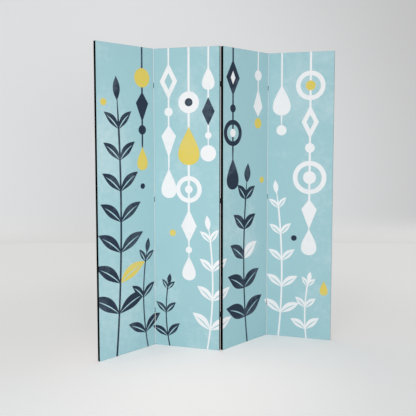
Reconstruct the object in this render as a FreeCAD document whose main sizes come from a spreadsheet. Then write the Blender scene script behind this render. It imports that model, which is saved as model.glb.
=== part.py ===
import FreeCAD, Part
import os
import re
import Sketcher

# A free-standing folding screen: four tall panels in a zigzag, joined at three folds.
# A panel is a dowelled wooden frame with canvas on both faces and black tape round its edge.
# A fold has three two-way hinges. Each has a pin before the panels and one behind them,
# so that a panel can close either way on its neighbour.
# X runs along the screen, Y from its front to its back and Z up. The origin is on the floor,
# under the middle of the screen.

# Lengths are millimetres and angles degrees.
SIZES = {
    "panel_tall": 1800,
    "panel_wide": 405,
    "panel_thick": 20,
    # How far each panel is turned from the line of the screen.
    "half_fold": 30,
    "canvas_thick": 0.6,
    "tape_thick": 0.4,
    # The wooden frame. A dowel reaches into the stile and the rail by this share of the stile's
    # width, and the two dowels of a joint stand off the rail's middle by a share of its height.
    "stile_wide": 30,
    "rail_tall": 30,
    "dowel_wide": 6,
    "dowel_bite_share": 0.5,
    "dowel_spread_share": 0.25,
    "glue_room": 0.5,
    # The hinges. The inset is from the end of a panel to the middle of its first hinge.
    "hinge_tall": 30,
    "hinge_inset": 216,
    "leaf_thick": 0.6,
    "link_thick": 0.5,
    # Clearances: leaf to link, pin to leaf, knuckle to knuckle, and barrel to plate.
    "leaf_slack": 0.25,
    "pin_slack": 0.05,
    "knuckle_slack": 0.2,
    "barrel_slack": 0.3,
    # How far the axis of a pin stands before or behind the panel's face.
    "pin_proud": 0.7,
    "pin_wide": 1,
    # The countersunk screws. The inset is from the end of a leaf to its screw.
    "screw_wide": 2,
    "screw_long": 16,
    "screw_inset": 5,
    "sink_angle": 45,
    "slot_wide": 0.6,
    "slot_deep": 0.4,
    # How far a cutting shape runs past what it cuts.
    "overrun": 1,
}

PANELS = 4
CROSS_RAILS = 2
HINGES = 3
KNUCKLES = 3
HALF_TURN = 180
LEFT = -1
RIGHT = 1

# The gap between two flat panels holds a leaf, the link and the other leaf.
GAP = "(2 * leaf_thick + 2 * leaf_slack + link_thick)"
BARREL = f"({GAP} / 2)"
PIN_OFF = "(panel_thick / 2 + pin_proud)"
# The plates of a hinge end short of the barrels by the slack.
WEB = f"({PIN_OFF} - {BARREL} - barrel_slack)"
# From the middle of one panel to the next, along the screen.
STEP = f"(cos(half_fold) * (panel_wide + {GAP}) + 2 * sin(half_fold) * {PIN_OFF})"

FRAME_DEEP = "(panel_thick - 2 * canvas_thick)"
FRAME_EDGE = "(panel_wide / 2 - tape_thick)"
STILE_EDGE = f"({FRAME_EDGE} - stile_wide)"
BITE = "(stile_wide * dowel_bite_share)"
LOW_RAIL = "(tape_thick + rail_tall / 2)"
TOP_RAIL = f"(panel_tall - {LOW_RAIL})"
MID_RAILS = [f"(panel_tall * {n + 1} / {CROSS_RAILS + 1})" for n in range(CROSS_RAILS)]

HINGE_FOOT = "(hinge_inset - hinge_tall / 2)"
KNUCKLE = f"(hinge_tall / {KNUCKLES})"
KNUCKLE_FOOT = f"({HINGE_FOOT} + {KNUCKLE})"
LEAF_FACE = f"({BARREL} - leaf_thick)"
HEAD = "(screw_wide / 2 + leaf_thick * tan(sink_angle))"
SCREW_SPOTS = [f"(hinge_inset + {way} * (hinge_tall / 2 - screw_inset))" for way in (-1, 1)]

document = FreeCAD.newDocument("FoldingScreen")
sheet = document.addObject("Spreadsheet::Sheet", "Sizes")
for row, (word, number) in enumerate(SIZES.items(), 1):
    sheet.set(f"A{row}", word)
    sheet.set(f"B{row}", str(number))
    sheet.setAlias(f"B{row}", word)
document.recompute()


def bind(thing, place, text):
    """Ties a property to a formula. Its words that are sizes mean the cells of the sheet."""
    formula = re.sub(r"[a-z_]+", lambda m: f"Sizes.{m[0]}" if m[0] in SIZES else m[0], text)
    thing.setExpression(place, formula)


def new_body(name):
    body = document.addObject("PartDesign::Body", name)
    body.Label = name
    return body


def origin_part(body, role):
    return next(thing for thing in body.Origin.OriginFeatures if thing.Role == role)


def sketch_on(body, role, away="0"):
    """An empty sketch on an origin plane of the body, moved along the plane's normal."""
    sketch = body.newObject("Sketcher::SketchObject", "Sketch")
    sketch.AttachmentSupport = [(origin_part(body, role), "")]
    sketch.MapMode = "FlatFace"
    bind(sketch, ".AttachmentOffset.Base.z", away)
    return sketch


def hold(sketch, constraint, text):
    """Adds a dimension to the sketch and ties it to a formula."""
    number = sketch.addConstraint(constraint)
    sketch.renameConstraint(number, f"size_{number}")
    bind(sketch, f"Constraints.size_{number}", text)


def hold_point(sketch, edge, end, across, up):
    """Sets how far a point of the sketch lies from the sketch's origin, each way."""
    hold(sketch, Sketcher.Constraint("DistanceX", -1, 1, edge, end, 1), across)
    hold(sketch, Sketcher.Constraint("DistanceY", -1, 1, edge, end, 1), up)


def rectangle(sketch, from_x, to_x, from_y, to_y):
    corners = [FreeCAD.Vector(0, 0), FreeCAD.Vector(1, 0), FreeCAD.Vector(1, 1), FreeCAD.Vector(0, 1)]
    edges = [Part.LineSegment(corners[n], corners[(n + 1) % 4]) for n in range(4)]
    first = sketch.addGeometry(edges)[0]
    for n in range(4):
        joined = Sketcher.Constraint("Coincident", first + n, 2, first + (n + 1) % 4, 1)
        sketch.addConstraint(joined)
        sketch.addConstraint(Sketcher.Constraint(("Horizontal", "Vertical")[n % 2], first + n))
    hold_point(sketch, first, 1, from_x, from_y)
    hold_point(sketch, first + 1, 2, to_x, to_y)


def circle(sketch, across, up, radius):
    number = sketch.addGeometry(Part.Circle(FreeCAD.Vector(1, 1), FreeCAD.Vector(0, 0, 1), 1))
    hold_point(sketch, number, 3, across, up)
    hold(sketch, Sketcher.Constraint("Radius", number, 1), radius)


def pad(body, sketch, length, forward=True, both_sides=False, taper="0"):
    """Adds material from the sketch, forward along its normal, back, or half each way."""
    made = body.newObject("PartDesign::Pad", "Pad")
    made.Profile = sketch
    made.Reversed = not forward
    made.SideType = "Symmetric" if both_sides else "One side"
    bind(made, "Length", length)
    bind(made, "TaperAngle", taper)
    return made


def pocket(body, sketch, length, forward=True, taper="0"):
    """Cuts from the sketch, forward along its normal or back."""
    made = body.newObject("PartDesign::Pocket", "Pocket")
    made.Profile = sketch
    made.Reversed = forward
    bind(made, "Length", length)
    bind(made, "TaperAngle", taper)
    return made


def repeat_up(body, features):
    """Repeats what belongs to one hinge at the height of each hinge."""
    made = body.newObject("PartDesign::LinearPattern", "Heights")
    made.Originals = features
    made.Direction = (origin_part(body, "Z_Axis"), [""])
    made.Occurrences = HINGES
    bind(made, "Length", "panel_tall - 2 * hinge_inset")
    body.Tip = made


def turned_back(panel):
    """1 for a panel whose right edge stands further back than its left, -1 for the others."""
    return 1 if panel % 2 else -1


def stand_panel(body, panel):
    """Places a piece whose own origin is under the middle of its panel."""
    bind(body, ".Placement.Base.x", f"{panel - (PANELS + 1) / 2} * {STEP}")
    bind(body, ".Placement.Rotation.Angle", f"{turned_back(panel)} * half_fold")


def stand_hinge(body, panel, side, turn=0):
    """Places a piece whose own origin is in the middle of the gap beside its panel."""
    reach = f"{side} * (panel_wide + {GAP}) / 2"
    bind(body, ".Placement.Base.x", f"{panel - (PANELS + 1) / 2} * {STEP} + {reach} * cos(half_fold)")
    bind(body, ".Placement.Base.y", f"{turned_back(panel)} * {reach} * sin(half_fold)")
    bind(body, ".Placement.Rotation.Angle", f"{turned_back(panel)} * half_fold + {turn}")


def dowel_circles(sketch, rails, radius="dowel_wide / 2"):
    for rail in rails:
        for way in (-1, 1):
            circle(sketch, "0", f"{rail} + {way} * rail_tall * dowel_spread_share", radius)


def is_hinged(panel, side):
    return 1 <= panel + side <= PANELS


def stile(panel, side, name):
    """An upright of the frame, bored for the dowels of its rails and the screws of its hinges."""
    body = new_body(name)
    face = sketch_on(body, "XZ_Plane")
    edges = (f"{side} * {STILE_EDGE}", f"{side} * {FRAME_EDGE}")
    rectangle(face, *edges, "tape_thick", "panel_tall - tape_thick")
    pad(body, face, FRAME_DEEP, both_sides=True)
    holes = sketch_on(body, "YZ_Plane", edges[0])
    dowel_circles(holes, [LOW_RAIL, *MID_RAILS, TOP_RAIL])
    pocket(body, holes, f"{BITE} + glue_room", forward=side == RIGHT)
    if is_hinged(panel, side):
        pilots = sketch_on(body, "YZ_Plane", edges[1])
        for spot in SCREW_SPOTS:
            circle(pilots, "0", spot, "screw_wide / 2")
        depth = "screw_long - leaf_thick - tape_thick"
        repeat_up(body, [pocket(body, pilots, depth, forward=side == LEFT)])
    stand_panel(body, panel)
    return body


def rails(panel, heights, name):
    """Rails between the stiles, at one or more heights, bored at both ends."""
    body = new_body(name)
    face = sketch_on(body, "XZ_Plane")
    for height in heights:
        rectangle(face, f"-{STILE_EDGE}", STILE_EDGE, f"{height} - rail_tall / 2", f"{height} + rail_tall / 2")
    pad(body, face, FRAME_DEEP, both_sides=True)
    for side in (LEFT, RIGHT):
        holes = sketch_on(body, "YZ_Plane", f"{side} * {STILE_EDGE}")
        dowel_circles(holes, heights)
        pocket(body, holes, f"{BITE} + glue_room", forward=side == LEFT)
    stand_panel(body, panel)
    return body


def dowels(panel, name):
    """Two dowels across each of the eight joints of the frame."""
    body = new_body(name)
    for side in (LEFT, RIGHT):
        ends = sketch_on(body, "YZ_Plane", f"{side} * {STILE_EDGE}")
        dowel_circles(ends, [LOW_RAIL, *MID_RAILS, TOP_RAIL])
        pad(body, ends, f"2 * {BITE}", both_sides=True)
    stand_panel(body, panel)
    return body


def canvas(panel, plane, name):
    """A stretched canvas over the whole face of the frame, its plane at the canvas's back."""
    body = new_body(name)
    face = sketch_on(body, "XZ_Plane", plane)
    rectangle(face, "-panel_wide / 2", "panel_wide / 2", "0", "panel_tall")
    pad(body, face, "canvas_thick")
    stand_panel(body, panel)
    return body


def side_tapes(panel, name):
    """The tape down both edges of a panel, pierced by the screws of its hinges."""
    body = new_body(name)
    face = sketch_on(body, "XZ_Plane")
    for side in (LEFT, RIGHT):
        rectangle(face, f"{side} * {FRAME_EDGE}", f"{side} * panel_wide / 2", "0", "panel_tall")
    pad(body, face, FRAME_DEEP, both_sides=True)
    cuts = []
    for side in (LEFT, RIGHT):
        if is_hinged(panel, side):
            holes = sketch_on(body, "YZ_Plane", f"{side} * {FRAME_EDGE}")
            for spot in SCREW_SPOTS:
                circle(holes, "0", spot, "screw_wide / 2")
            cuts.append(pocket(body, holes, "tape_thick", forward=side == RIGHT))
    repeat_up(body, cuts)
    stand_panel(body, panel)
    return body


def end_tapes(panel, name):
    """The tape over the top of a panel and under its foot, between the side tapes."""
    body = new_body(name)
    face = sketch_on(body, "XZ_Plane")
    for low in ("0", "panel_tall - tape_thick"):
        rectangle(face, f"-{FRAME_EDGE}", FRAME_EDGE, low, f"{low} + tape_thick")
    pad(body, face, FRAME_DEEP, both_sides=True)
    stand_panel(body, panel)
    return body


def leaves(name):
    """Leaves with the outer knuckles of the front barrel, against the panel on their left.
    Turned half round, they are the leaves of the right panel with those of the back barrel."""
    body = new_body(name)
    plate = sketch_on(body, "XY_Plane", HINGE_FOOT)
    rectangle(plate, f"-{BARREL}", f"-{LEAF_FACE}", f"-{PIN_OFF}", WEB)
    knuckles = sketch_on(body, "XY_Plane", HINGE_FOOT)
    circle(knuckles, "0", f"-{PIN_OFF}", BARREL)
    # The room for the link's own knuckle, between those of the leaf.
    notch = sketch_on(body, "XY_Plane", f"{KNUCKLE_FOOT} - knuckle_slack")
    aside = f"({BARREL} + overrun)"
    rectangle(notch, f"-{aside}", aside, f"-({PIN_OFF} + {aside})", f"-{WEB}")
    bore = sketch_on(body, "XY_Plane", HINGE_FOOT)
    circle(bore, "0", f"-{PIN_OFF}", "pin_wide / 2 + pin_slack")
    sinks = sketch_on(body, "YZ_Plane", f"-{LEAF_FACE}")
    for spot in SCREW_SPOTS:
        circle(sinks, "0", spot, HEAD)
    repeat_up(
        body,
        [
            pad(body, plate, "hinge_tall"),
            pad(body, knuckles, "hinge_tall"),
            pocket(body, notch, f"{KNUCKLE} + 2 * knuckle_slack"),
            pocket(body, bore, "hinge_tall"),
            pocket(body, sinks, "leaf_thick", forward=False, taper="-sink_angle"),
        ],
    )
    return body


def links(name):
    """Plates between the leaves, with the middle knuckles of both barrels."""
    body = new_body(name)
    plate = sketch_on(body, "XY_Plane", HINGE_FOOT)
    rectangle(plate, "-link_thick / 2", "link_thick / 2", f"-{WEB}", WEB)
    tongue = sketch_on(body, "XY_Plane", KNUCKLE_FOOT)
    rectangle(tongue, "-link_thick / 2", "link_thick / 2", f"-{PIN_OFF}", PIN_OFF)
    knuckles = sketch_on(body, "XY_Plane", KNUCKLE_FOOT)
    bores = sketch_on(body, "XY_Plane", KNUCKLE_FOOT)
    for way in (-1, 1):
        circle(knuckles, "0", f"{way} * {PIN_OFF}", BARREL)
        circle(bores, "0", f"{way} * {PIN_OFF}", "pin_wide / 2")
    repeat_up(
        body,
        [
            pad(body, plate, "hinge_tall"),
            pad(body, tongue, KNUCKLE),
            pad(body, knuckles, KNUCKLE),
            pocket(body, bores, KNUCKLE),
        ],
    )
    return body


def pins(name):
    """A pin through each barrel, tight in the link and free in the leaves."""
    body = new_body(name)
    ends = sketch_on(body, "XY_Plane", HINGE_FOOT)
    for way in (-1, 1):
        circle(ends, "0", f"{way} * {PIN_OFF}", "pin_wide / 2")
    repeat_up(body, [pad(body, ends, "hinge_tall")])
    return body


def screws(name):
    """Slotted wood screws, their heads flush in the leaves."""
    body = new_body(name)
    heads = sketch_on(body, "YZ_Plane", f"-{LEAF_FACE}")
    shanks = sketch_on(body, "YZ_Plane", f"-{BARREL}")
    slots = sketch_on(body, "YZ_Plane", f"-{LEAF_FACE}")
    for spot in SCREW_SPOTS:
        circle(heads, "0", spot, HEAD)
        circle(shanks, "0", spot, "screw_wide / 2")
        edges = (f"{spot} - slot_wide / 2", f"{spot} + slot_wide / 2")
        rectangle(slots, f"-({HEAD} + overrun)", f"{HEAD} + overrun", *edges)
    repeat_up(
        body,
        [
            pad(body, heads, "leaf_thick", forward=False, taper="-sink_angle"),
            pad(body, shanks, "screw_long - leaf_thick", forward=False),
            pocket(body, slots, "slot_deep", forward=False),
        ],
    )
    return body


pieces = []
for panel in range(1, PANELS + 1):
    pieces += [
        stile(panel, LEFT, f"panel_{panel}_left_stile"),
        stile(panel, RIGHT, f"panel_{panel}_right_stile"),
        rails(panel, [TOP_RAIL], f"panel_{panel}_top_rail"),
        rails(panel, [LOW_RAIL], f"panel_{panel}_bottom_rail"),
        rails(panel, MID_RAILS, f"panel_{panel}_cross_rails"),
        dowels(panel, f"panel_{panel}_dowels"),
        canvas(panel, "panel_thick / 2 - canvas_thick", f"panel_{panel}_front_canvas"),
        canvas(panel, "-panel_thick / 2", f"panel_{panel}_back_canvas"),
        side_tapes(panel, f"panel_{panel}_side_tapes"),
        end_tapes(panel, f"panel_{panel}_end_tapes"),
    ]

# A fold has the number of the panel on its left. Where its front pins are bent, its links stay
# in line with the panel on the right, and where its back pins are, with the panel on the left.
for fold in range(1, PANELS):
    left_side = (fold, RIGHT)
    right_side = (fold + 1, LEFT)
    with_panel = right_side if turned_back(fold) == 1 else left_side
    for name, make, spot, turn in (
        ("left_leaves", leaves, left_side, 0),
        ("right_leaves", leaves, right_side, HALF_TURN),
        ("left_screws", screws, left_side, 0),
        ("right_screws", screws, right_side, HALF_TURN),
        ("links", links, with_panel, 0),
        ("pins", pins, with_panel, 0),
    ):
        body = make(f"fold_{fold}_{name}")
        stand_hinge(body, *spot, turn)
        pieces.append(body)

document.recompute()
for thing in document.Objects:
    if "Invalid" in thing.State or "Error" in thing.State:
        raise RuntimeError(f"{thing.Label} did not build")
for piece in pieces:
    if piece.Shape.isNull() or not piece.Shape.isValid():
        raise RuntimeError(f"{piece.Label} has no valid shape")

os.makedirs("parts", exist_ok=True)
for piece in pieces:
    piece.Shape.exportStep(f"parts/{piece.Label}.step")
    print(piece.Label, len(piece.Shape.Solids), "solids", round(piece.Shape.Volume, 1), "mm3")
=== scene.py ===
import math

import bpy
import numpy as np
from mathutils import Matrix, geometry


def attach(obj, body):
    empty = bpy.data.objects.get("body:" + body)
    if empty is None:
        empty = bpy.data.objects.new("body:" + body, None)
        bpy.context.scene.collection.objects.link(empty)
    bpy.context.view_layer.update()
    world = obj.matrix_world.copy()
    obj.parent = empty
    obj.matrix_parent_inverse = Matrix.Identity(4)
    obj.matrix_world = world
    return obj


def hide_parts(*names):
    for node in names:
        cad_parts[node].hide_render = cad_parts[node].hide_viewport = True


# A free-standing folding screen of four canvas panels in a zigzag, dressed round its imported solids.
# It is put together here as on the bench: frames, canvases, tapes, then the hinges between panels.
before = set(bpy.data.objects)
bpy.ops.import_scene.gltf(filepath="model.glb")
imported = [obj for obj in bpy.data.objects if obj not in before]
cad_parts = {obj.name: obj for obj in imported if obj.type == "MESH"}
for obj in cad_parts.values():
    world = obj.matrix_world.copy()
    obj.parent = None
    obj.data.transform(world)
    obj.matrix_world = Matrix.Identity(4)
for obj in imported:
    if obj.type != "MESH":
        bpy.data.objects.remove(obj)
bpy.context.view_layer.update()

# The camera stands to the left of the screen, at an adult's chest height, with a normal lens.
# A little of the lens's shift keeps the uprights of the panels nearly parallel.
camera = bpy.data.objects.new("camera", bpy.data.cameras.new("camera"))
bpy.context.scene.collection.objects.link(camera)
camera.data.lens = 50
camera.data.sensor_width = 36
camera.data.shift_y = -0.055
camera.location = (-0.9246, -3.3645, 1.2470)
HEADING = 14.540
PITCH = 4.276
camera.rotation_euler = (math.radians(90 - PITCH), 0, math.radians(-HEADING))
bpy.context.scene.camera = camera


# The wooden frames inside the panels: planed softwood stiles and rails, glued with beech dowels.
# They are whole CAD solids that the canvas hides, so they only get their timber, with the grain
# along each piece. A rail's grain lies along its panel, which is turned from the screen's line.
PANELS = (1, 2, 3, 4)
HALF_FOLD = math.radians(30)


def turned(panel):
    """The angle of a panel about the upright, back on its right for panels 1 and 3."""
    return HALF_FOLD if panel % 2 else -HALF_FOLD


def put(tree, kind, values=(), **settings):
    """A new node. Its sockets take plain values or the outputs of other nodes."""
    made = tree.nodes.new(kind)
    for name, value in settings.items():
        setattr(made, name, value)
    for socket, value in dict(values).items():
        if isinstance(value, bpy.types.NodeSocket):
            tree.links.new(value, made.inputs[socket])
        else:
            made.inputs[socket].default_value = value
    return made


def effect(name, inputs, outputs):
    """An empty node group, its inputs given as name, kind and value, its outputs without one."""
    group = bpy.data.node_groups.new(name, "ShaderNodeTree")
    for label, kind, value in inputs:
        socket = group.interface.new_socket(label, in_out="INPUT", socket_type="NodeSocket" + kind)
        if kind != "Vector":
            socket.default_value = value
    for label, kind in outputs:
        group.interface.new_socket(label, in_out="OUTPUT", socket_type="NodeSocket" + kind)
    return group, group.nodes.new("NodeGroupInput").outputs, group.nodes.new("NodeGroupOutput")


def finish_of(name, **plain):
    """A new material and its main shader, with the numbers that are the same all over."""
    made = bpy.data.materials.new(name)
    made.use_nodes = True
    shader = made.node_tree.nodes["Principled BSDF"]
    for socket, value in plain.items():
        shader.inputs[socket.replace("_", " ")].default_value = value
    return made, made.node_tree, shader


def mixed(tree, share, low, high):
    """Goes from one colour to the other as the share goes from 0 to 1."""
    made = put(tree, "ShaderNodeMix", data_type="RGBA")
    for socket, value in ((0, share), (6, low), (7, high)):
        if isinstance(value, bpy.types.NodeSocket):
            tree.links.new(value, made.inputs[socket])
        else:
            made.inputs[socket].default_value = value
    return made.outputs[2]


def calc(tree, operation, *values):
    """The result of a math node on plain numbers or outputs."""
    return put(tree, "ShaderNodeMath", dict(enumerate(values)), operation=operation).outputs[0]


def ranged(tree, value, span, ends=(0, 1), **settings):
    """A value taken from its span to the range between two ends."""
    sizes = {"From Min": span[0], "From Max": span[1], "To Min": ends[0], "To Max": ends[1]}
    return put(tree, "ShaderNodeMapRange", {"Value": value, **sizes}, **settings).outputs[0]


def surface(tree, shader, colour, gloss, rough, height, strength, depth, span=(0, 1)):
    """Links what every finish here has: its colour, its roughness, which goes from one value to the
    other as a mask goes over its span, and a bump with its strength and its depth in metres."""
    tree.links.new(colour, shader.inputs["Base Color"])
    tree.links.new(ranged(tree, gloss, span, rough), shader.inputs["Roughness"])
    bump = put(tree, "ShaderNodeBump", {"Height": height, "Strength": strength, "Distance": depth})
    tree.links.new(bump.outputs[0], shader.inputs["Normal"])


def finish_solid(name, material):
    """Gives a CAD solid that is right as it is its material."""
    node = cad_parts[name]
    node.data.materials.clear()
    node.data.materials.append(material)


# Growth rings cut lengthwise: bands across the board, pulled long in Z, wavy and of uneven width.
grain, given, result = effect(
    "wood grain",
    [("Vector", "Vector", None), ("Rings", "Float", 160.0), ("Pores", "Float", 900.0)],
    [("Late wood", "Float"), ("Pore", "Float")],
)
long_way = put(grain, "ShaderNodeMapping", {"Vector": given["Vector"], "Scale": (1, 1, 0.06)})
bands = put(
    grain, "ShaderNodeTexWave",
    {"Vector": long_way.outputs[0], "Scale": given["Rings"], "Distortion": 5.0, "Detail": 3.0,
     "Detail Scale": 0.6},
    bands_direction="DIAGONAL",
)
pores = put(
    grain, "ShaderNodeTexNoise",
    {"Vector": long_way.outputs[0], "Scale": given["Pores"], "Detail": 2.0, "Roughness": 0.6},
)
grain.links.new(bands.outputs["Fac"], result.inputs["Late wood"])
grain.links.new(pores.outputs["Fac"], result.inputs["Pore"])


def timber(name, early, late, turn, rings, pores):
    """Wood whose grain runs along Z once its coordinates are turned, with fine pores."""
    made, tree, shader = finish_of(name, Specular_IOR_Level=0.3)
    place = put(tree, "ShaderNodeTexCoord").outputs["Object"]
    upright = put(tree, "ShaderNodeMapping", {"Vector": place, "Rotation": turn}).outputs[0]
    sizes = {"Rings": rings, "Pores": pores}
    look = put(tree, "ShaderNodeGroup", {"Vector": upright, **sizes}, node_tree=grain)
    late_wood, pore = look.outputs
    surface(tree, shader, mixed(tree, late_wood, early, late), pore, (0.5, 0.75), pore, 0.4, 0.0003)
    return made


PINE = ((0.66, 0.48, 0.29, 1), (0.42, 0.25, 0.12, 1))
BEECH = ((0.68, 0.50, 0.34, 1), (0.55, 0.37, 0.22, 1))
stile_timber = timber("stile pine", *PINE, (0, 0, 0), 34.0, 420.0)
for panel in PANELS:
    lying = (0, math.radians(90), -turned(panel))
    rail_timber = timber(f"rail pine {panel}", *PINE, lying, 34.0, 420.0)
    dowel_timber = timber(f"dowel beech {panel}", *BEECH, lying, 90.0, 900.0)
    for part, wood in (
        ("left_stile", stile_timber),
        ("right_stile", stile_timber),
        ("top_rail", rail_timber),
        ("bottom_rail", rail_timber),
        ("cross_rails", rail_timber),
        ("dowels", dowel_timber),
    ):
        slot = "dowel_wood" if part == "dowels" else "frame_wood"
        finish_solid(f"panel_{panel}_{part}", wood)


# The printed fronts: one picture in ink on matt canvas, cut in four and stretched over the frames.
# It is a garden in flat inks: stems with paired leaves, and strings with lozenges, kites, drops,
# rings and beads. Places are in metres from the foot of the left edge, with the screen laid flat.
WIDE = 0.405  # a panel's width, height and thickness
TALL = 1.8
THICK = 0.020
STEP = 0.3633455  # from one panel's middle to the next one's, along the screen
CLOTH = 0.0006
INKS = ("ground", "navy", "white", "yellow", "edge")
motifs = []


def ink(colour, *outlines):
    """Prints a shape over what is there. A second outline inside the first is a hole."""
    motifs.append((INKS.index(colour), outlines))


def along(foot, tip, bow, share):
    """Points and left-hand normals of an arc from foot to tip that bows by a share of its length:
    the chord, plus the bow times a parabola that is 0 at both ends and 1 in the middle."""
    foot, tip = np.array(foot, float), np.array(tip, float)
    share = np.asarray(share, float)[:, None]
    chord = tip - foot
    side = np.array([-chord[1], chord[0]])
    points = foot + chord * share + side * bow * 4 * share * (1 - share)
    run = chord + side * bow * 4 * (1 - 2 * share)
    run /= np.linalg.norm(run, axis=1)[:, None]
    return points, np.stack([-run[:, 1], run[:, 0]], 1)


def ribbon(foot, tip, bow, wide, samples=40):
    """A stem: the arc widened by half its width each way, which thins over its last tenth."""
    share = np.linspace(0, 1, samples)
    points, left = along(foot, tip, bow, share)
    half = wide / 2 * np.clip(0.35 + 6.5 * (1 - share), 0, 1)[:, None]
    return np.concatenate([points - left * half, (points + left * half)[::-1]])


def leaf(foot, angle, long, wide, bow=0.06, full=1.0, samples=26):
    """An almond: an arc whose half width goes as the sine of half a turn along it. With a power
    under 1 on the way along, it is fullest nearer its foot."""
    share = np.linspace(0, 1, samples)
    tip = np.array(foot) + long * np.array([math.sin(angle), math.cos(angle)])
    points, left = along(foot, tip, bow, share)
    half = wide / 2 * np.sin(math.pi * share[1:-1] ** full)[:, None]
    inner = points[1:-1]
    out = left[1:-1] * half
    return np.concatenate([points[:1], inner - out, points[-1:], (inner + out)[::-1]])


def disc(centre, radius, samples=44):
    """A circle."""
    turn = np.linspace(0, 2 * math.pi, samples, endpoint=False)
    return np.array(centre) + radius * np.stack([np.cos(turn), np.sin(turn)], 1)


def drop(centre, wide, tall, samples=48):
    """A teardrop with its point up: across goes as the sine of the turn times a power of the sine
    of half the turn, and up as the cosine of the turn."""
    turn = np.linspace(0, 2 * math.pi, samples, endpoint=False)
    across = np.sin(turn) * np.sin(turn / 2) ** 1.6
    across *= wide / 2 / np.abs(across).max()
    return np.array(centre) + np.stack([across, tall / 2 * np.cos(turn)], 1)


def kite(centre, wide, tall, waist=0.5):
    """Four corners, the side ones at the waist's share of the height from the foot."""
    side, low = wide / 2, -tall / 2
    middle = low + waist * tall
    return np.array(centre) + np.array([[0, low], [side, middle], [0, -low], [-side, middle]])


def sprig(colour, foot, tip, bow, pairs, long, wide, spread, stem=0.011, full=1.0, accents={}):
    """A stem with pairs of leaves that shrink and close towards its tip, and one leaf on top. The
    lowest pair opens by the spread, in degrees. An accent is another ink for one leaf of a pair."""
    lowest, highest, last_size, last_spread = 0.17, 0.88, 0.62, 0.72
    vein_long, vein_wide = 0.82, 0.007
    points, left = along(foot, tip, bow, np.linspace(lowest, highest, pairs))
    size = np.linspace(1.0, last_size, pairs)
    open_by = math.radians(spread) * np.linspace(1.0, last_spread, pairs)
    heading = np.arctan2(left[:, 1], -left[:, 0])
    for n in range(pairs):
        for way in (-1, 1):
            angle = heading[n] + way * open_by[n]
            shade = accents.get((n, way), colour)
            ink(shade, leaf(points[n], angle, long * size[n], wide * size[n], 0.06 * way, full))
            ink("ground", leaf(points[n], angle, long * size[n] * vein_long, vein_wide, 0.05 * way))
    top = np.array(tip) - (0, 0.02)
    ink(colour, leaf(top, heading[-1], long * last_size, wide * last_size, 0.0, full))
    ink(colour, ribbon(foot, tip, bow, stem))


def string(colour, across, low, wide=0.010):
    """A straight string from over the top edge down to a height."""
    ink(colour, ribbon((across, TALL + 0.01), (across, low), 0.0, wide, 8))


# The first panel and the fold beside it.
sprig(
    "navy", (0.118, -0.01), (0.138, 1.50), -0.02, 7, 0.225, 0.078, 60, 0.013,
    accents={(1, 1): "yellow"},
)
sprig("navy", (0.352, -0.01), (0.345, 0.60), 0.05, 3, 0.150, 0.056, 52, 0.009)
string("navy", 0.318, 1.150, 0.012)
ink("yellow", disc((0.318, 1.622), 0.056))
ink("navy", kite((0.318, 1.452), 0.092, 0.180, 0.62))
ink("navy", disc((0.318, 1.318), 0.028))
ink("yellow", drop((0.318, 1.150), 0.078, 0.140))
ink("navy", disc((0.318, 0.985), 0.017))
ink("yellow", disc((0.046, 1.470), 0.020))

# The second panel.
string("white", 0.497, 1.02)
ink("white", kite((0.497, 1.605), 0.110, 0.215))
ink("ground", kite((0.497, 1.605), 0.050, 0.100))
ink("white", disc((0.497, 1.425), 0.026))
ink("white", kite((0.497, 1.250), 0.092, 0.195, 0.66))
ink("white", drop((0.497, 1.000), 0.096, 0.180))
string("white", 0.622, 0.545, 0.013)
ink("white", disc((0.622, 1.480), 0.064))
ink("navy", disc((0.622, 1.480), 0.024))
ink("yellow", drop((0.622, 1.225), 0.132, 0.230))
ink("white", disc((0.622, 0.965), 0.080), disc((0.622, 0.965), 0.053))
ink("white", disc((0.622, 0.965), 0.024))
ink("white", kite((0.622, 0.745), 0.098, 0.200))
ink("white", disc((0.622, 0.600), 0.020))
ink("white", drop((0.622, 0.490), 0.084, 0.150))
string("white", 0.742, 1.205)
ink("white", drop((0.742, 1.620), 0.076, 0.140))
ink("navy", kite((0.742, 1.425), 0.078, 0.165))
ink("white", disc((0.742, 1.285), 0.020))
ink("white", disc((0.742, 1.180), 0.048))
sprig("white", (0.735, -0.01), (0.744, 0.74), -0.04, 4, 0.150, 0.056, 54, 0.010)
sprig("navy", (0.500, -0.01), (0.492, 0.40), 0.05, 3, 0.115, 0.044, 50, 0.008)
ink("yellow", disc((0.520, 0.700), 0.020))

# The third panel, with a string across the middle fold.
string("navy", 0.893, 1.085, 0.013)
ink("navy", kite((0.893, 1.625), 0.116, 0.215))
ink("white", kite((0.893, 1.625), 0.040, 0.080))
ink("navy", disc((0.893, 1.445), 0.024))
ink("navy", disc((0.893, 1.300), 0.078), disc((0.893, 1.300), 0.050))
ink("white", disc((0.893, 1.300), 0.024))
ink("navy", drop((0.893, 1.060), 0.104, 0.195))
string("white", 1.120, 1.405)
ink("white", disc((1.120, 1.655), 0.032))
ink("white", kite((1.120, 1.490), 0.084, 0.175, 0.34))
ink("yellow", disc((1.120, 1.362), 0.032))
sprig(
    "navy", (1.030, -0.01), (1.020, 1.02), 0.03, 5, 0.190, 0.092, 60, 0.012, 0.85,
    accents={(2, 1): "white"},
)
ink("yellow", disc((1.160, 1.010), 0.020))

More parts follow.
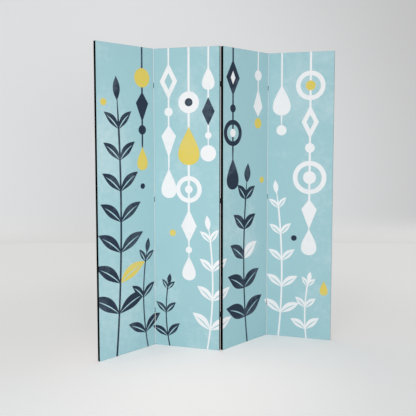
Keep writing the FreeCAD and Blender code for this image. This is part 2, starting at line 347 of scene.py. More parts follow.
# The fourth panel, with a white spray beside the last fold.
sprig("white", (1.290, -0.01), (1.272, 0.94), -0.03, 5, 0.140, 0.052, 56, 0.011)
string("white", 1.300, 1.330)
ink("white", drop((1.300, 1.510), 0.112, 0.195))
ink("white", disc((1.300, 1.320), 0.032))
string("white", 1.478, 0.660, 0.013)
ink("white", disc((1.478, 1.595), 0.090), disc((1.478, 1.595), 0.062))
ink("yellow", disc((1.478, 1.595), 0.030))
ink("white", kite((1.478, 1.370), 0.106, 0.210))
ink("ground", kite((1.478, 1.370), 0.046, 0.092))
ink("white", disc((1.478, 1.210), 0.030))
ink("white", disc((1.478, 1.025), 0.104), disc((1.478, 1.025), 0.075))
ink("white", disc((1.478, 1.025), 0.040))
ink("white", kite((1.478, 0.795), 0.096, 0.190, 0.66))
ink("white", drop((1.478, 0.620), 0.096, 0.170))
sprig("white", (1.470, -0.01), (1.480, 0.38), 0.04, 3, 0.115, 0.046, 52, 0.009)
ink("yellow", drop((1.575, 0.330), 0.050, 0.094))
ink("navy", disc((1.385, 0.640), 0.018))

# How the cloth goes over the frame's edge: it rolls back round a small radius, and the corner of
# the panel is as round as two turns of cloth make it. A little way round, the roll turns black.
CORNER = 0.0014
ROLL = 0.0005
CORE = np.array([WIDE / 2 - CORNER, TALL / 2 - CORNER])
BLACK_FROM = CORNER - ROLL + math.radians(30) * ROLL
NEAR = WIDE / 2 + 0.01


def flat_corner(reach, samples=5):
    """The outline of the panel's core rectangle grown by a reach, with round corners, laid flat."""
    spots = np.array([[1, 1], [-1, 1], [-1, -1], [1, -1]])
    angles = (np.arange(4)[:, None] + np.linspace(0, 1, samples)[None, :]) * math.pi / 2
    arc = reach * np.stack([np.cos(angles), np.sin(angles)], 2)
    return (spots[:, None, :] * CORE + arc).reshape(-1, 2) + (0, TALL / 2)


def off_core(flat):
    """How far flat cloth reaches out from the panel's core rectangle."""
    middle = flat - (0, TALL / 2)
    return np.linalg.norm(middle - np.clip(middle, -CORE, CORE), axis=1)


def rolled(flat):
    """Where flat cloth lies on a panel. Each point keeps its nearest point on the core rectangle.
    Up to the roll it stays in the face. Past it, its way out goes as the sine and its depth as one
    less the cosine of the arc it has run, up to a quarter turn, and the rest runs straight back."""
    middle = flat - (0, TALL / 2)
    nearest = np.clip(middle, -CORE, CORE)
    off = middle - nearest
    length = np.linalg.norm(off, axis=1)
    arc = np.clip((length - (CORNER - ROLL)) / ROLL, 0, None)
    bend = np.clip(arc, 0, math.pi / 2)
    out = np.where(arc > 0, CORNER - ROLL + ROLL * np.sin(bend), length)
    depth = ROLL * (1 - np.cos(bend)) + ROLL * np.clip(arc - math.pi / 2, 0, None)
    across = nearest + off * (out / np.maximum(length, 1e-9))[:, None] + (0, TALL / 2)
    return np.stack([across[:, 0], depth - THICK / 2, across[:, 1]], 1)


def inside(points, outline):
    """Whether each point is in a closed outline: a ray from it crosses the outline an odd number
    of times."""
    a, b = outline, np.roll(outline, -1, 0)
    x, y = points[:, :1], points[:, 1:]
    spans = (a[:, 1] > y) != (b[:, 1] > y)
    rise = np.where(b[:, 1] == a[:, 1], 1, b[:, 1] - a[:, 1])
    hits = spans & (x < a[:, 0] + (y - a[:, 1]) / rise * (b[:, 0] - a[:, 0]))
    return hits.sum(1) % 2 == 1


def printed_cloth(shapes):
    """Flat cloth cut into triangles along the outlines of its print and along the lines of its
    roll, with the ink of each triangle: that of the last shape whose outlines hold its middle."""
    quarter = math.pi / 2 * ROLL
    reaches = CORNER - ROLL + np.array([0, 0.25, 0.5, 0.75, 1]) * quarter
    edge = flat_corner(reaches[-1] + CLOTH - ROLL)
    loops = [flat_corner(reach) for reach in reaches] + [edge]
    for _, outlines in shapes:
        loops += [o for o in outlines if np.abs(o[:, 0]).min() < NEAR]
    sizes = np.array([len(loop) for loop in loops])
    first = np.repeat(np.cumsum(sizes) - sizes, sizes)
    index = np.arange(sizes.sum())
    following = np.where(index + 1 == first + np.repeat(sizes, sizes), first, index + 1)
    lines = np.stack([index, following], 1)
    cut = geometry.delaunay_2d_cdt(np.concatenate(loops).tolist(), lines.tolist(), [], 0, 1e-7)
    flat = np.array(cut[0])[:, :2]
    triangles = np.array(cut[2])
    middles = flat[triangles].mean(1)
    kept = inside(middles, edge)
    triangles, middles = triangles[kept], middles[kept]
    inks = np.zeros(len(triangles), np.int32)
    for colour, outlines in shapes:
        covered = sum(inside(middles, o).astype(int) for o in outlines) % 2 == 1
        inks[covered] = colour
    inks[off_core(middles) > BLACK_FROM] = INKS.index("edge")
    used, triangles = np.unique(triangles, return_inverse=True)
    return flat[used], triangles.reshape(-1, 3), inks


def closed_cloth(flat, triangles):
    """The rolled cloth with a plain back: each edge that only one triangle has gets a triangle to
    a point in the middle of the back. Gives the points, all triangles and their flat places."""
    points = rolled(flat)
    sides = triangles[:, [[0, 1], [1, 2], [2, 0]]].reshape(-1, 2)
    _, edge_of, uses = np.unique(
        np.sort(sides, 1), axis=0, return_inverse=True, return_counts=True,
    )
    rim = sides[uses[edge_of.ravel()] == 1]
    hub = len(points)
    points = np.concatenate([points, [[0, CLOTH - THICK / 2, TALL / 2]]])
    fan = np.stack([rim[:, 1], rim[:, 0], np.full(len(rim), hub)], 1)
    places = np.concatenate([flat, [[0, TALL / 2]]])
    return points, np.concatenate([triangles, fan]), places


def on_panel(points, panel):
    """Points given from the foot of a panel's middle, put where the panel stands in the screen."""
    c, s = math.cos(turned(panel)), math.sin(turned(panel))
    middle = (panel - 2.5) * STEP
    return points @ np.array([[c, s, 0], [-s, c, 0], [0, 0, 1]]) + (middle, 0, 0)


def piece(name, points, faces, body, materials, replaced=(), inks=None, smooth=None, uv=None):
    """A mesh object from arrays, with its places on the cloth as a map in metres."""
    mesh = bpy.data.meshes.new(name)
    mesh.from_pydata(points.tolist(), [], faces.tolist())
    if inks is not None:
        mesh.polygons.foreach_set("material_index", inks)
    if smooth is not None:
        mesh.polygons.foreach_set("use_smooth", smooth)
    if uv is not None:
        corner = np.zeros(len(mesh.loops), np.int32)
        mesh.loops.foreach_get("vertex_index", corner)
        places = uv[corner].astype(np.float32).ravel()
        mesh.uv_layers.new(name="cloth").uv.foreach_set("vector", places)
    for material in materials:
        mesh.materials.append(material)
    made = bpy.data.objects.new(name, mesh)
    bpy.context.scene.collection.objects.link(made)
    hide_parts(*replaced)
    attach(made, body)
    return made


# Plain weave, in metres: a rounded bump where one thread passes over another, as the size of the
# sine across times the sine along. Slubs are noise drawn out along each thread.
weave, given, result = effect(
    "weave",
    [("Vector", "Vector", None), ("Threads", "Float", 1400.0), ("Slub", "Float", 0.5)],
    [("Height", "Float"), ("Tone", "Float")],
)
scaled = {0: given["Vector"], "Scale": given["Threads"]}
scaled = put(weave, "ShaderNodeVectorMath", scaled, operation="SCALE").outputs[0]
across, up, _ = put(weave, "ShaderNodeSeparateXYZ", {0: scaled}).outputs
waves = [calc(weave, "SINE", calc(weave, "MULTIPLY", way, math.pi)) for way in (across, up)]
bumps = calc(weave, "ABSOLUTE", calc(weave, "MULTIPLY", *waves))
slubs = []
for stretch in ((1.0, 0.03, 1.0), (0.03, 1.0, 1.0)):
    drawn = put(weave, "ShaderNodeMapping", {"Vector": scaled, "Scale": stretch}).outputs[0]
    noise = put(weave, "ShaderNodeTexNoise", {"Vector": drawn, "Scale": 0.7, "Detail": 2.0})
    slubs.append(noise.outputs["Fac"])
both = calc(weave, "ADD", *slubs)
height = calc(weave, "ADD", bumps, calc(weave, "MULTIPLY", both, given["Slub"]))
weave.links.new(height, result.inputs["Height"])
weave.links.new(both, result.inputs["Tone"])

# Worn ink: a mottle whose threshold falls where large soft patches of noise lie, or where the
# bias is high, so that those places lose most of their ink. The softness is how wide a range of
# the mottle the ink fades over. The speckle is a coarse grain.
wear, given, result = effect(
    "worn ink",
    [("Vector", "Vector", None), ("Patches", "Float", 2.4), ("Mottle", "Float", 26.0),
     ("Grain", "Float", 150.0), ("Low", "Float", 0.48), ("High", "Float", 0.66),
     ("Bias", "Float", 0.0), ("Softness", "Float", 0.34)],
    [("Mask", "Float"), ("Speckle", "Float")],
)
layers = []
for size, detail, rough in (("Patches", 3.0, 0.55), ("Mottle", 6.0, 0.74), ("Grain", 4.0, 0.7)):
    kind = {"Vector": given["Vector"], "Scale": given[size], "Detail": detail, "Roughness": rough}
    layers.append(put(wear, "ShaderNodeTexNoise", kind).outputs["Fac"])
patches, mottle, speckle = layers
patch = ranged(wear, patches, (given["Low"], given["High"]), interpolation_type="SMOOTHSTEP")
threshold = calc(wear, "MULTIPLY_ADD", calc(wear, "MAXIMUM", patch, given["Bias"]), -0.38, 0.83)
fade = [calc(wear, "MULTIPLY_ADD", given["Softness"], share, threshold) for share in (-0.5, 0.5)]
wear.links.new(ranged(wear, mottle, fade), result.inputs["Mask"])
wear.links.new(ranged(wear, speckle, (0.42, 0.66)), result.inputs["Speckle"])

# Where hands and the sun have worn the ground most: soft ellipses on the cloth, by middle, half
# size and strength. A place counts by the strongest ellipse over it.
handled, given, result = effect(
    "handled places", [("Vector", "Vector", None)], [("Place", "Float")],
)
strongest = 0.0
for middle, reach, strength in (
    ((0.06, 1.22), (0.32, 0.55), 1.20),
    ((0.14, 0.30), (0.42, 0.62), 0.90),
    ((1.42, 1.56), (0.36, 0.46), 0.96),
    ((1.52, 1.00), (0.20, 0.60), 0.72),
    ((0.84, 0.95), (0.14, 0.90), 0.60),
):
    away = given["Vector"]
    for operation, by in (("SUBTRACT", (*middle, 0)), ("DIVIDE", (*reach, 1))):
        away = put(handled, "ShaderNodeVectorMath", {0: away, 1: by}, operation=operation)
        away = away.outputs[0]
    away = put(handled, "ShaderNodeVectorMath", {0: away}, operation="LENGTH").outputs["Value"]
    soft = ranged(handled, away, (0, 1), (strength, 0), interpolation_type="SMOOTHSTEP")
    strongest = calc(handled, "MAXIMUM", strongest, soft)
handled.links.new(strongest, result.inputs["Place"])


def ink_on_cloth(name, colour, worn, share, stipple, places=False, **pattern):
    """Matt ink on canvas: its colour, the colour where it is worn, how much of that shows, how far
    the speckle breaks it up, and whether the handled places show. The rest sets up its wear."""
    made, tree, shader = finish_of(name, Specular_IOR_Level=0.22)
    cloth = put(tree, "ShaderNodeUVMap", uv_map="cloth").outputs[0]
    look = put(tree, "ShaderNodeGroup", {"Vector": cloth, **pattern}, node_tree=wear)
    mask, speckle = look.outputs
    if places:
        where = put(tree, "ShaderNodeGroup", {"Vector": cloth}, node_tree=handled)
        tree.links.new(where.outputs[0], look.inputs["Bias"])
    height = put(tree, "ShaderNodeGroup", {"Vector": cloth}, node_tree=weave).outputs["Height"]
    broken = calc(tree, "MULTIPLY_ADD", speckle, stipple, 1 - stipple)
    shown = calc(tree, "MULTIPLY", calc(tree, "MULTIPLY", mask, broken), share)
    tone = mixed(tree, shown, colour, worn)
    surface(tree, shader, tone, speckle, (0.72, 0.88), height, 0.25, 0.00012)
    return made


BLACK = (0.0008, 0.0008, 0.0010, 1)
ink_finishes = [
    ink_on_cloth(
        "blue-green ground", (0.365, 0.596, 0.645, 1), (0.54, 0.715, 0.750, 1), 0.95, 0.25, True,
        Patches=2.2, Low=0.44, High=0.72, Mottle=26.0, Softness=0.44,
    ),
    ink_on_cloth(
        "navy ink", (0.020, 0.034, 0.062, 1), (0.14, 0.19, 0.235, 1), 0.8, 0.75,
        Patches=5.0, Low=0.36, High=0.62, Mottle=34.0,
    ),
    ink_on_cloth(
        "white ink", (0.88, 0.885, 0.90, 1), (0.60, 0.72, 0.76, 1), 0.5, 0.75,
        Patches=6.0, Low=0.40, High=0.68, Mottle=34.0,
    ),
    ink_on_cloth(
        "yellow ink", (0.755, 0.605, 0.120, 1), (0.66, 0.64, 0.33, 1), 0.6, 0.7,
        Patches=6.0, Low=0.40, High=0.66, Mottle=34.0,
    ),
    ink_on_cloth(
        "black edge", BLACK, (0.0030, 0.0030, 0.0034, 1), 0.5, 0.5,
        Patches=9.0, Low=0.42, High=0.62, Mottle=26.0,
    ),
]


def roll_faces(flat, triangles):
    """Which triangles lie on the roll: those with a corner past the part that stays in the face."""
    return (off_core(flat)[triangles] > CORNER - ROLL + 1e-6).any(1)


for panel in PANELS:
    left_edge = (panel - 1) * WIDE
    middle = (left_edge + WIDE / 2, 0)
    shapes = [(colour, [o - middle for o in outlines]) for colour, outlines in motifs]
    near = [s for s in shapes if np.abs(np.concatenate(s[1])[:, 0]).min() < NEAR]
    flat, triangles, inks = printed_cloth(near)
    points, faces, places = closed_cloth(flat, triangles)
    inks = np.concatenate([inks, np.zeros(len(faces) - len(inks), np.int32)])
    canvas = piece(
        f"panel_{panel}_print", on_panel(points, panel), faces, f"panel_{panel}",
        ink_finishes, [f"panel_{panel}_front_canvas"], inks, roll_faces(places, faces),
        places + middle,
    )


# The backs: the same canvas left unprinted, off-white, stretched over the other face of the frame.
# Its threads and slubs show a little more than under the ink.
plain_cloth, tree, shader = finish_of("unprinted canvas", Specular_IOR_Level=0.2)
cloth = put(tree, "ShaderNodeUVMap", uv_map="cloth").outputs[0]
threads = put(tree, "ShaderNodeGroup", {"Vector": cloth}, node_tree=weave)
blotch = {"Vector": cloth, "Scale": 5.0, "Detail": 5.0, "Roughness": 0.65}
blotch = put(tree, "ShaderNodeTexNoise", blotch).outputs["Fac"]
height, tone = threads.outputs
share = calc(tree, "MULTIPLY", ranged(tree, tone, (0.75, 1.3)), blotch)
tone = mixed(tree, share, (0.80, 0.785, 0.745, 1), (0.69, 0.665, 0.61, 1))
surface(tree, shader, tone, blotch, (0.8, 0.95), height, 0.35, 0.00015)

flat, triangles, inks = printed_cloth([])
points, faces, places = closed_cloth(flat, triangles)
black_edge = np.concatenate([inks > 0, np.zeros(len(faces) - len(inks), bool)]).astype(np.int32)
back_finishes = [plain_cloth, ink_finishes[INKS.index("edge")]]
for panel in PANELS:
    canvas = piece(
        f"panel_{panel}_back_cloth", on_panel(points * (-1, -1, 1), panel), faces, f"panel_{panel}",
        back_finishes, [f"panel_{panel}_back_canvas"], black_edge,
        roll_faces(places, faces), places + (panel * WIDE, 0),
    )


# The black tapes round the edge of each panel: thin woven strips glued between the two canvases.
# Their solids are right as they are, so they only get their ribbed, matt cloth.
for panel in PANELS:
    tape_cloth, tree, shader = finish_of(f"black tape {panel}", Specular_IOR_Level=0.03)
    place = put(tree, "ShaderNodeTexCoord").outputs["Object"]
    facing = (0, 0, -turned(panel))
    straight = put(tree, "ShaderNodeMapping", {"Vector": place, "Rotation": facing}).outputs[0]
    across, through, up = put(tree, "ShaderNodeSeparateXYZ", {0: straight}).outputs
    length_way = calc(tree, "ADD", across, up)
    strip = put(tree, "ShaderNodeCombineXYZ", {"X": through, "Y": length_way}).outputs[0]
    threads = put(tree, "ShaderNodeGroup", {"Vector": strip, "Threads": 2200.0}, node_tree=weave)
    height, tone = threads.outputs
    lint = ranged(tree, tone, (0.7, 1.4))
    tone = mixed(tree, lint, BLACK, (0.0020, 0.0020, 0.0024, 1))
    surface(tree, shader, tone, lint, (0.78, 0.95), height, 0.3, 0.0001)
    for part in ("side_tapes", "end_tapes"):
        finish_solid(f"panel_{panel}_{part}", tape_cloth)


# The two-way hinges, three to a fold: sheet-steel leaves rolled round their pin, in black powder
# coat. Each pair of leaves hangs on a link with a knuckle at both ends, one before the panels and
# one behind. They are made here once, in the middle of the gap, and set at their heights.
GAP = 0.0022  # between two panels, and a barrel fills it
BARREL = GAP / 2  # radii: of a barrel, a pin, its bore and a screw's shank
PIN = 0.0005
BORE = PIN + 0.00005
SHANK = 0.001
LEAF = 0.0006  # thicknesses of a leaf and a link
LINK = 0.0005
PIN_OFF = THICK / 2 + 0.0007  # from the panel's middle plane to a pin, and to where the web ends
WEB = PIN_OFF - BARREL - 0.0003
HINGE = 0.030  # heights: of a hinge, a knuckle and the slack between knuckles
KNUCKLE = HINGE / 3
SLACK = 0.0002
HEIGHTS = (0.216, 0.900, 1.584)  # of the hinges' middles over the floor
SINKS = (0.005, HINGE - 0.005)  # of the screws over the foot of a hinge
SCREW = 0.016  # its length, the pitch of its thread and half the width of its slot
THREAD = 0.0011
SLOT = 0.0003
INNER = -(BARREL - LEAF)  # where a leaf's inner face lies


def prism(outline, low, high, soft=0.00012):
    """A closed upright prism: the outline at four heights, drawn in by the softening at both ends
    along the normals of its corners, and a flat end at the foot and the top."""
    sides = outline - np.roll(outline, 1, 0), np.roll(outline, -1, 0) - outline
    run = sum(side / np.linalg.norm(side, axis=1)[:, None] for side in sides)
    run /= np.maximum(np.linalg.norm(run, axis=1), 1e-9)[:, None]
    inward = np.stack([-run[:, 1], run[:, 0]], 1)
    drawn = outline + inward * soft
    rings = [(drawn, low), (outline, low + soft), (outline, high - soft), (drawn, high)]
    points = np.concatenate([np.column_stack([ring, np.full(len(ring), z)]) for ring, z in rings])
    count = len(outline)
    here = np.arange(count)
    ahead = (here + 1) % count
    band = np.stack([here, ahead, ahead + count, here + count], 1)
    ends = [here[::-1].tolist(), (here + 3 * count).tolist()]
    return points, np.concatenate([band + ring * count for ring in range(3)]).tolist() + ends


def solid(name, points, faces):
    """A mesh object for cutting and joining, which isn't kept."""
    mesh = bpy.data.meshes.new(name)
    mesh.from_pydata(points.tolist(), [], faces)
    made = bpy.data.objects.new(name, mesh)
    bpy.context.scene.collection.objects.link(made)
    return made


def worked(parts, cuts=()):
    """The parts joined and the cuts taken out of them, as points and triangles."""
    base = parts[0]
    for other, operation in [(p, "UNION") for p in parts[1:]] + [(c, "DIFFERENCE") for c in cuts]:
        step = base.modifiers.new("step", "BOOLEAN")
        step.object, step.operation, step.solver = other, operation, "EXACT"
    base.modifiers.new("faces", "TRIANGULATE")
    worked_on = base.evaluated_get(bpy.context.evaluated_depsgraph_get())
    shaped = bpy.data.meshes.new_from_object(worked_on)
    points = np.zeros(len(shaped.vertices) * 3)
    shaped.vertices.foreach_get("co", points)
    faces = np.zeros(len(shaped.polygons) * 3, np.int32)
    shaped.polygons.foreach_get("vertices", faces)
    bpy.data.meshes.remove(shaped)
    for used in [*parts, *cuts]:
        bpy.data.objects.remove(used)
    return points.reshape(-1, 3), faces.reshape(-1, 3)


def box_outline(x0, x1, y0, y1):
    """A rectangle between two places each way."""
    return np.array([[x0, y0], [x1, y0], [x1, y1], [x0, y1]])


def round_outline(x, y, radius, samples=48):
    """A circle about a place."""
    turn = np.linspace(0, 2 * math.pi, samples, endpoint=False)
    return np.stack([x + radius * np.cos(turn), y + radius * np.sin(turn)], 1)


def curl_outline():
    """A leaf's section where it is rolled: up its outer face, round the barrel until it nearly
    meets its own inner face again, and back round the pin's bore and along the inner face."""
    seam = math.radians(112)
    foot_at = -WEB + 0.002
    out = np.linspace(-math.pi, seam, 40)
    back = np.linspace(seam, -math.pi, 40)
    outer = np.stack([BARREL * np.cos(out), -PIN_OFF + BARREL * np.sin(out)], 1)
    inner = np.stack([BORE * np.cos(back), -PIN_OFF + BORE * np.sin(back)], 1)
    foot = np.array([[INNER, foot_at], [-BARREL, foot_at]])
    return np.concatenate([outer, inner, foot])


def cone(radius, top, tip, depth, height, samples=32):
    """A cone frustum lying along X, for a countersink or a screw's head: a radius at its top and
    another one at its tip, which lies its depth behind."""
    turn = np.linspace(0, 2 * math.pi, samples, endpoint=False)
    ring = np.stack([np.zeros(samples), np.cos(turn), np.sin(turn)], 1)
    ends = ring * radius + (top, 0, height), ring * tip + (top - depth, 0, height)
    points = np.concatenate(ends)
    here = np.arange(samples)
    ahead = (here + 1) % samples
    sides = np.stack([here, here + samples, ahead + samples, ahead], 1).tolist()
    return points, sides + [here.tolist(), (here[::-1] + samples).tolist()]


plate = box_outline(-BARREL, INNER, -WEB, WEB)
curl = curl_outline()
leaf_parts = [
    solid("plate", *prism(plate, 0, HINGE)),
    solid("low curl", *prism(curl, 0, KNUCKLE - SLACK)),
    solid("high curl", *prism(curl, 2 * KNUCKLE + SLACK, HINGE)),
]
head = SHANK + LEAF
over = 1e-5  # by which a cut reaches past the leaf, so that it cuts through
seats = [solid("seat", *cone(head + over, INNER + over, SHANK, LEAF + 2 * over, z)) for z in SINKS]
leaf_mesh = worked(leaf_parts, seats)

web = box_outline(-LINK / 2, LINK / 2, -WEB, WEB)
tongue = box_outline(-LINK / 2, LINK / 2, -PIN_OFF, PIN_OFF)
link_parts = [
    solid("web", *prism(web, 0, HINGE)),
    solid("tongue", *prism(tongue, KNUCKLE, 2 * KNUCKLE)),
    solid("front knuckle", *prism(round_outline(0, -PIN_OFF, BARREL), KNUCKLE, 2 * KNUCKLE)),
    solid("back knuckle", *prism(round_outline(0, PIN_OFF, BARREL), KNUCKLE, 2 * KNUCKLE)),
]
link_mesh = worked(link_parts)

pins = [round_outline(0, y, PIN, 28) for y in (-PIN_OFF, PIN_OFF)]
pin_mesh = worked([solid("pin", *prism(pin, 0, HINGE, 0.0002)) for pin in pins])


def threaded(length, height, samples=16, rings=44):
    """A screw's shank along X: a surface of revolution whose radius rises and falls as a triangle
    wave of its length less its turn, which winds the ridge round, and shrinks to a point."""
    way, round_it = np.linspace(0, 1, rings), np.linspace(0, 1, samples, endpoint=False)
    u, v = np.meshgrid(way, round_it, indexing="ij")
    ridge = np.abs((u * length / THREAD - v) % 1 - 0.5) * 2
    radius = SHANK * (0.74 + 0.26 * ridge * np.clip(u * 6, 0, 1)) * np.clip((1 - u) * 5, 0.02, 1)
    turn = 2 * math.pi * v
    back, side, up = BARREL + u * length, radius * np.cos(turn), height + radius * np.sin(turn)
    points = np.stack([-back, side, up], 2)
    here = np.arange(rings * samples).reshape(rings, samples)
    ahead = np.roll(here, -1, 1)
    sides = np.stack([here[:-1], here[1:], ahead[1:], ahead[:-1]], 2).reshape(-1, 4).tolist()
    return points.reshape(-1, 3), sides + [here[0].tolist(), here[-1][::-1].tolist()]


screw_parts, slots = [], []
for z in SINKS:
    screw_parts.append(solid("head", *cone(head, INNER, SHANK * 0.75, LEAF + 0.00005, z)))
    screw_parts.append(solid("shank", *threaded(SCREW - LEAF, z)))
    slot = box_outline(INNER - 0.0004, 0.001, -0.004, 0.004)
    slots.append(solid("slot", *prism(slot, z - SLOT, z + SLOT, 1e-6)))
screw_mesh = worked(screw_parts, slots)


def in_gap(points, panel, side, turn):
    """Points given from the foot of a gap's middle, put beside a panel and turned about the gap."""
    c, s = math.cos(turn), math.sin(turn)
    beside = points @ np.array([[c, s, 0], [-s, c, 0], [0, 0, 1]]) + (side * (WIDE + GAP) / 2, 0, 0)
    return on_panel(beside, panel)


coat, given, result = effect(
    "coat texture",
    [("Vector", "Vector", None), ("Peel", "Float", 900.0), ("Dust", "Float", 60.0)],
    [("Height", "Float"), ("Dust", "Float")],
)
for size, detail, output in (("Peel", 2.0, "Height"), ("Dust", 6.0, "Dust")):
    noise = put(coat, "ShaderNodeTexNoise", {"Vector": given["Vector"], "Detail": detail})
    coat.links.new(given[size], noise.inputs["Scale"])
    coat.links.new(noise.outputs["Fac"], result.inputs[output])


def metal(name, low, high, rough, peel, depth, **plain):
    """Coated or bare metal: two near tones, an uneven gloss and a fine texture."""
    made, tree, shader = finish_of(name, **plain)
    place = put(tree, "ShaderNodeTexCoord").outputs["Object"]
    look = put(tree, "ShaderNodeGroup", {"Vector": place, "Peel": peel}, node_tree=coat)
    height, dust = look.outputs
    surface(tree, shader, mixed(tree, dust, low, high), dust, rough, height, 0.3, depth, (0.3, 0.7))
    return made


black_coat = metal(
    "black powder coat", (0.004, 0.004, 0.005, 1), (0.012, 0.012, 0.013, 1), (0.42, 0.6),
    1800.0, 0.00004, Specular_IOR_Level=0.35,
)
black_screw = metal(
    "blackened screw", (0.006, 0.006, 0.007, 1), (0.022, 0.021, 0.02, 1), (0.35, 0.55),
    2600.0, 0.00002, Metallic=0.6,
)
drawn_steel = metal(
    "drawn steel", (0.34, 0.34, 0.35, 1), (0.5, 0.5, 0.5, 1), (0.25, 0.42),
    5200.0, 0.00001, Metallic=1.0,
)

SHARP = math.radians(35)  # an edge of the metal that turns by more than this isn't smoothed

# At rest a fold is bent about one of its pins, so its link is in line with one of its panels: the
# right one at the outer folds and the left one at the middle fold.
for fold in (1, 2, 3):
    left, right, link = f"panel_{fold}", f"panel_{fold + 1}", f"fold_{fold}_link"
    on_left, on_right = (fold, 1), (fold + 1, -1)
    with_panel = on_right if fold % 2 else on_left
    for part, mesh, spot, turn, body, finish, slot in (
        ("left_leaves", leaf_mesh, on_left, 0, left, black_coat, "hinge_metal"),
        ("right_leaves", leaf_mesh, on_right, math.pi, right, black_coat, "hinge_metal"),
        ("left_screws", screw_mesh, on_left, 0, left, black_screw, "screw_metal"),
        ("right_screws", screw_mesh, on_right, math.pi, right, black_screw, "screw_metal"),
        ("links", link_mesh, with_panel, 0, link, black_coat, "hinge_metal"),
        ("pins", pin_mesh, with_panel, 0, link, drawn_steel, "pin_steel"),
    ):
        points, faces = mesh
        count = len(points)
        feet = [(0, 0, z - HINGE / 2) for z in HEIGHTS]
        points = np.concatenate([in_gap(points + foot, *spot, turn) for foot in feet])
        faces = np.concatenate([faces + n * count for n in range(len(HEIGHTS))])
        node = f"fold_{fold}_{part}"
        smooth = np.ones(len(faces), bool)
        made = piece(node + "_fine", points, faces, body, [finish], [node], smooth=smooth)
        made.data.set_sharp_from_angle(angle=SHARP)


# The studio: a floor in pale paint that sweeps up into a wall in grey paint all round, with no line
# between, so each side of the screen has the same soft backdrop. Both carry painted light and its
# falloff. The wall only shows: the sky lights through it.
FLOOR_REACH = 3.6
COVE = 0.22
WALL_TOP = 4.5
SQUARENESS = 6


def studio(name, reaches, heights, samples=192):
    """A sweep about Z of a profile's reaches and heights. Its plan is a square with round corners,
    turned as the camera is: a reach over the root of the sum of its cosine's and sine's powers."""
    turn = np.linspace(0, 2 * math.pi, samples, endpoint=False)
    lean = turn + math.radians(HEADING)
    powers = np.abs(np.cos(lean)) ** SQUARENESS + np.abs(np.sin(lean)) ** SQUARENESS
    plan = powers ** (-1 / SQUARENESS)
    across = np.outer(reaches, plan * np.cos(turn))
    back = np.outer(reaches, plan * np.sin(turn))
    points = np.stack([across, back, np.outer(heights, np.ones(samples))], 2)
    here = np.arange(len(reaches) * samples).reshape(-1, samples)
    ahead = np.roll(here, -1, 1)
    faces = np.stack([here[:-1], here[1:], ahead[1:], ahead[:-1]], 2).reshape(-1, 4)
    mesh = bpy.data.meshes.new(name)
    mesh.from_pydata(points.reshape(-1, 3).tolist(), [], faces.tolist())
    mesh.polygons.foreach_set("use_smooth", np.ones(len(faces), bool))
    made = bpy.data.objects.new(name, mesh)
    bpy.context.scene.collection.objects.link(made)
    return made


quarter = np.linspace(0, math.pi / 2, 16)
floor = studio("floor", np.array([0.001, 1.0, 2.2, FLOOR_REACH]), np.zeros(4))
wall = studio(
    "wall",
    np.concatenate([FLOOR_REACH + COVE * np.sin(quarter), [FLOOR_REACH + COVE]]),
    np.concatenate([COVE * (1 - np.cos(quarter)), [WALL_TOP]]),
)
wall.visible_shadow = False
wall.visible_diffuse = False


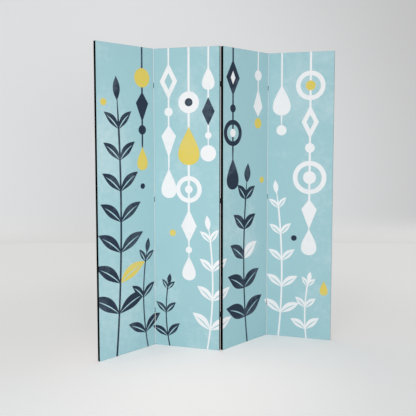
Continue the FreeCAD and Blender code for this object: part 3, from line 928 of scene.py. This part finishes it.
def paint_with_painted_light(name, centre, stops, foot=None):
    """Matt paint whose tone goes from stop to stop with the distance from a point of the room, which
    paints light and its falloff onto it. To the camera and in reflections it is a little brighter
    than the light on it makes it, by a glow that goes the same way, which is painted light too. A
    stop is a distance, a tone and a glow. A foot is a height, and the tone and glow that the paint
    has at the floor, which give way to the others up to there."""
    made, tree, shader = finish_of(name, Specular_IOR_Level=0.1, Roughness=0.9)
    place = put(tree, "ShaderNodeTexCoord").outputs["Object"]
    ends = {0: place, 1: centre}
    away = put(tree, "ShaderNodeVectorMath", ends, operation="DISTANCE").outputs["Value"]
    tone, glow = stops[0][1:]
    for (near, _, _), (far, next_tone, next_glow) in zip(stops, stops[1:]):
        share = ranged(tree, away, (near, far), interpolation_type="SMOOTHSTEP")
        tone, glow = mixed(tree, share, tone, next_tone), mixed(tree, share, glow, next_glow)
    if foot:
        top, low_tone, low_glow = foot
        up = put(tree, "ShaderNodeSeparateXYZ", {0: place}).outputs["Z"]
        share = ranged(tree, up, (0, top), interpolation_type="SMOOTHSTEP")
        tone, glow = mixed(tree, share, low_tone, tone), mixed(tree, share, low_glow, glow)
    rays = put(tree, "ShaderNodeLightPath")
    looks = rays.outputs["Is Camera Ray"]
    for kind in ("Is Glossy Ray", "Is Transmission Ray"):
        looks = calc(tree, "MAXIMUM", looks, rays.outputs[kind])
    tree.links.new(tone, shader.inputs["Base Color"])
    tree.links.new(glow, shader.inputs["Emission Color"])
    tree.links.new(looks, shader.inputs["Emission Strength"])
    return made


PALE = (0.868, 0.866, 0.862, 1)
# The floor is painted brightest and warmest just before the screen, a painted pool of light that also
# offsets the blue-green light the panels throw on it. Its glow rises again out towards the wall,
# which is painted light as well.
floor_painted_light_stops = (
    (0.10, (0.885, 0.880, 0.875, 1), (0.238, 0.196, 0.190, 1)),
    (1.10, PALE, (0.098, 0.098, 0.098, 1)),
    (1.40, PALE, (0.098, 0.098, 0.098, 1)),
    (2.90, PALE, (0.146, 0.146, 0.146, 1)),
)
floor.data.materials.append(paint_with_painted_light("pale floor, painted light pool", (-0.15, -0.40, 0), floor_painted_light_stops))
# The wall is painted lightest near a point low behind the screen and darker away from it: a painted
# falloff of light.
wall_painted_falloff_stops = (
    (2.4, (0.735, 0.740, 0.750, 1), (0.194, 0.196, 0.198, 1)),
    (5.2, (0.545, 0.545, 0.550, 1), (0.132, 0.132, 0.134, 1)),
)
wall_foot = (0.38, PALE, (0.104, 0.104, 0.104, 1))
wall.data.materials.append(paint_with_painted_light("grey wall, painted light falloff", (-0.6, 3.9, 0.5), wall_painted_falloff_stops, wall_foot))

# The light: an even sky, a soft lamp near the screen on its left, which the first two panels get
# most of, and a wide one further off before it. A grid before the near one keeps it off the floor.
world = bpy.data.worlds.new("sky")
bpy.context.scene.world = world
world.use_nodes = True
world.node_tree.nodes["Background"].inputs["Color"].default_value = (1, 1, 1, 1)
world.node_tree.nodes["Background"].inputs["Strength"].default_value = 0.635


def lamp(name, place, towards, size, watts, spread=180):
    """A round soft lamp, turned about Z and tipped until it looks at a point. A grid before it may
    narrow its spread, in degrees."""
    made = bpy.data.objects.new(name, bpy.data.lights.new(name, "AREA"))
    made.data.shape = "DISK"
    made.data.size = size
    made.data.energy = watts
    made.data.spread = math.radians(spread)
    made.location = place
    aim = np.array(towards) - np.array(place)
    tip = math.atan2(math.hypot(aim[0], aim[1]), -aim[2])
    made.rotation_euler = (tip, 0, math.atan2(aim[1], aim[0]) - math.pi / 2)
    made.visible_camera = False
    bpy.context.scene.collection.objects.link(made)


lamp("key", (-1.5, -2.5, 0.90), (-0.35, 0, 0.95), 0.9, 8.7, 120)
lamp("fill", (0.0, -8.5, 1.35), (0, 0, 0.7), 2.8, 140)

bpy.context.scene.view_settings.view_transform = "Standard"
